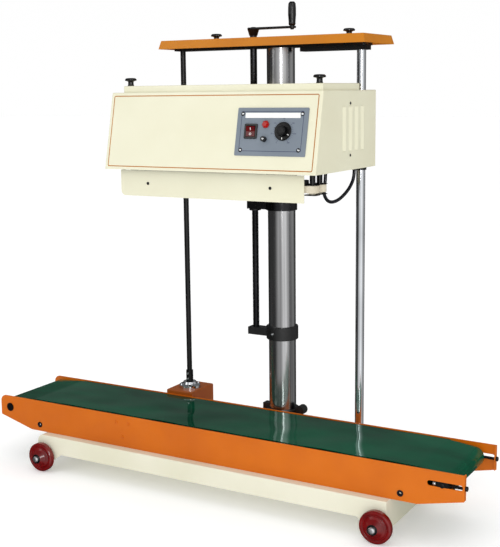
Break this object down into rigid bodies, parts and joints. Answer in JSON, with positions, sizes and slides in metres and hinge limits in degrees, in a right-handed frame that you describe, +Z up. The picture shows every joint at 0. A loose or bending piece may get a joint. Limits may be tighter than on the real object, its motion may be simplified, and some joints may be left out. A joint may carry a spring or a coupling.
{
  "type": "continuous band sealer",
  "caption": "Floor-standing continuous bag sealer: a wheeled belt conveyor with a sealing head on a round column, raised by a hand crank and lead screw, with a tilted control panel.",
  "frame": {"origin": "on the floor, in the middle of the machine's footprint", "axes": "+X along the conveyor towards the take-up end, +Y to the back where the column stands, +Z up; X is the longest extent and Y the shortest"},
  "size_m": [1.506, 0.522, 1.374],
  "materials": {
    "tray_paint": "semi-gloss cream",
    "axle_steel": "bright zinc",
    "wheel_red": "gloss",
    "rail_paint": "gloss orange",
    "cover_orange": "gloss orange",
    "gearbox_paint": "gloss orange",
    "bed_steel": "plain sheet",
    "belt_green": "glossy PVC",
    "black_steel": "black",
    "dark_steel": "oiled",
    "column_steel": "brushed",
    "chrome": "polished",
    "bright_steel": "turned",
    "cast_black": "painted black",
    "knob_black": "satin",
    "head_cream": "semi-gloss cream",
    "panel_blue": "satin blue-grey",
    "lamp_red": "translucent",
    "rocker_black": "gloss",
    "band_brown": "coated glass cloth",
    "guide_cream": "matt",
    "pulley_cream": "satin",
    "sealing_alloy": "milled",
    "motor_grey": "satin",
    "cable_black": "satin"
  },
  "bodies": {
    "root": {"base_tray": "tray_paint", "wheel_axles": "axle_steel", "axle_nuts": "axle_steel", "rail_front": "rail_paint", "rail_rear": "rail_paint", "slider_bed": "bed_steel", "conveyor_belt": "belt_green", "roller_bearings": "black_steel", "tail_axle": "dark_steel", "take_up_blocks": "black_steel", "take_up_screws": "dark_steel", "frame_bolts": "rail_paint", "drive_chain": "dark_steel", "gearbox_cover": "gearbox_paint", "shaft_flange": "chrome", "column": "column_steel", "cast_feet": "cast_black", "guide_post": "chrome", "top_plate": "black_steel", "top_cover": "cover_orange", "cover_knobs": "knob_black", "column_clamp": "cast_black"},
    "wheel_front_left": {"wheel_front_left": "wheel_red"},
    "wheel_front_right": {"wheel_front_right": "wheel_red"},
    "wheel_rear_left": {"wheel_rear_left": "wheel_red"},
    "wheel_rear_right": {"wheel_rear_right": "wheel_red"},
    "drive_roller": {"drive_roller": "black_steel", "roller_sprocket": "dark_steel"},
    "tail_roller": {"tail_roller": "bright_steel"},
    "drive_shaft": {"drive_shaft": "black_steel", "shaft_coupling": "black_steel", "bevel_pinion": "dark_steel"},
    "cross_shaft": {"bevel_gear_shaft": "dark_steel", "chain_sprocket": "dark_steel"},
    "crank": {"lead_screw": "dark_steel", "crank_arm": "black_steel"},
    "grip": {"crank_grip": "knob_black"},
    "head": {"head_cover": "head_cream", "head_lid": "head_cream", "lid_knobs": "knob_black", "chassis_plate": "black_steel", "carriage": "dark_steel", "screw_nut": "black_steel", "lower_guard": "head_cream", "sealing_bands": "band_brown", "guide_belts": "guide_cream", "sealing_blocks": "sealing_alloy", "gear_motor": "motor_grey", "control_panel": "panel_blue", "pilot_lamp": "lamp_red", "link_cable": "cable_black"},
    "rocker": {"rocker_switch": "rocker_black"},
    "dial": {"temperature_dial": "knob_black"},
    "knob": {"speed_knob": "knob_black"},
    "outfeed_wheel_front": {"drive_wheel_front": "pulley_cream"},
    "outfeed_wheel_rear": {"drive_wheel_rear": "pulley_cream"},
    "band_wheel_front": {"band_wheel_front": "bright_steel"},
    "band_wheel_rear": {"band_wheel_rear": "bright_steel"},
    "infeed_pulley_front": {"guide_pulley_front": "pulley_cream"},
    "infeed_pulley_rear": {"guide_pulley_rear": "pulley_cream"}
  },
  "joints": [
    {"name": "wheel_front_left_roll", "type": "hinge", "parent": "root", "child": "wheel_front_left", "pos_m": [-0.563, -0.229, 0.0435], "axis": [0, 1, 0], "continuous": true},
    {"name": "wheel_front_right_roll", "type": "hinge", "parent": "root", "child": "wheel_front_right", "pos_m": [0.532, -0.229, 0.0435], "axis": [0, 1, 0], "continuous": true},
    {"name": "wheel_rear_left_roll", "type": "hinge", "parent": "root", "child": "wheel_rear_left", "pos_m": [-0.563, 0.229, 0.0435], "axis": [0, 1, 0], "continuous": true},
    {"name": "wheel_rear_right_roll", "type": "hinge", "parent": "root", "child": "wheel_rear_right", "pos_m": [0.532, 0.229, 0.0435], "axis": [0, 1, 0], "continuous": true},
    {"name": "shaft_turn", "type": "hinge", "parent": "root", "child": "drive_shaft", "pos_m": [-0.251, 0.122, 0.5], "axis": [0, 0, 1], "continuous": true},
    {"name": "cross_shaft_turn", "type": "hinge", "parent": "root", "child": "cross_shaft", "pos_m": [-0.251, 0.122, 0.168], "axis": [0, 1, 0], "continuous": true},
    {"name": "drive_roller_turn", "type": "hinge", "parent": "root", "child": "drive_roller", "pos_m": [-0.716, -0.06, 0.168], "axis": [0, 1, 0], "continuous": true},
    {"name": "tail_roller_turn", "type": "hinge", "parent": "root", "child": "tail_roller", "pos_m": [0.69, -0.06, 0.168], "axis": [0, 1, 0], "continuous": true},
    {"name": "crank_turn", "type": "hinge", "parent": "root", "child": "crank", "pos_m": [-0.009, 0.122, 1.3], "axis": [0, 0, 1], "range_deg": [-5400, 29700]},
    {"name": "grip_spin", "type": "hinge", "parent": "crank", "child": "grip", "pos_m": [0.116, 0.122, 1.34], "axis": [0, 0, 1], "continuous": true},
    {"name": "head_lift", "type": "slide", "parent": "root", "child": "head", "axis": [0, 0, 1], "range_m": [-0.33, 0.06]},
    {"name": "rocker_rock", "type": "hinge", "parent": "head", "child": "rocker", "pos_m": [0.156, -0.18305, 1.02667], "axis": [1, 0, 0], "range_deg": [-14, 0]},
    {"name": "dial_turn", "type": "hinge", "parent": "head", "child": "dial", "pos_m": [0.25, -0.18489, 1.02758], "axis": [0, -0.9766, 0.215], "range_deg": [0, 300]},
    {"name": "knob_turn", "type": "hinge", "parent": "head", "child": "knob", "pos_m": [0.198, -0.18941, 1.00708], "axis": [0, -0.9766, 0.215], "range_deg": [-150, 150]},
    {"name": "outfeed_front_turn", "type": "hinge", "parent": "head", "child": "outfeed_wheel_front", "pos_m": [-0.238, -0.1561, 0.9], "axis": [0, 0, 1], "continuous": true},
    {"name": "outfeed_rear_turn", "type": "hinge", "parent": "head", "child": "outfeed_wheel_rear", "pos_m": [-0.238, -0.1159, 0.9], "axis": [0, 0, 1], "continuous": true},
    {"name": "band_front_turn", "type": "hinge", "parent": "head", "child": "band_wheel_front", "pos_m": [0.232, -0.1561, 0.9], "axis": [0, 0, 1], "continuous": true},
    {"name": "band_rear_turn", "type": "hinge", "parent": "head", "child": "band_wheel_rear", "pos_m": [0.232, -0.1159, 0.9], "axis": [0, 0, 1], "continuous": true},
    {"name": "infeed_front_turn", "type": "hinge", "parent": "head", "child": "infeed_pulley_front", "pos_m": [0.319, -0.1561, 0.88], "axis": [0, 0, 1], "continuous": true},
    {"name": "infeed_rear_turn", "type": "hinge", "parent": "head", "child": "infeed_pulley_rear", "pos_m": [0.319, -0.1159, 0.88], "axis": [0, 0, 1], "continuous": true}
  ],
  "couplings": [
    {"joint": "cross_shaft_turn", "follows": "shaft_turn", "ratio": 1},
    {"joint": "drive_roller_turn", "follows": "shaft_turn", "ratio": 1},
    {"joint": "tail_roller_turn", "follows": "shaft_turn", "ratio": 1},
    {"joint": "head_lift", "follows": "crank_turn", "m_per_rad": -0.00063662},
    {"joint": "outfeed_front_turn", "follows": "shaft_turn", "ratio": -1.4943},
    {"joint": "outfeed_rear_turn", "follows": "shaft_turn", "ratio": 1.4943},
    {"joint": "band_front_turn", "follows": "shaft_turn", "ratio": -1.4943},
    {"joint": "band_rear_turn", "follows": "shaft_turn", "ratio": 1.4943},
    {"joint": "infeed_front_turn", "follows": "shaft_turn", "ratio": -1.4943},
    {"joint": "infeed_rear_turn", "follows": "shaft_turn", "ratio": 1.4943}
  ]
}
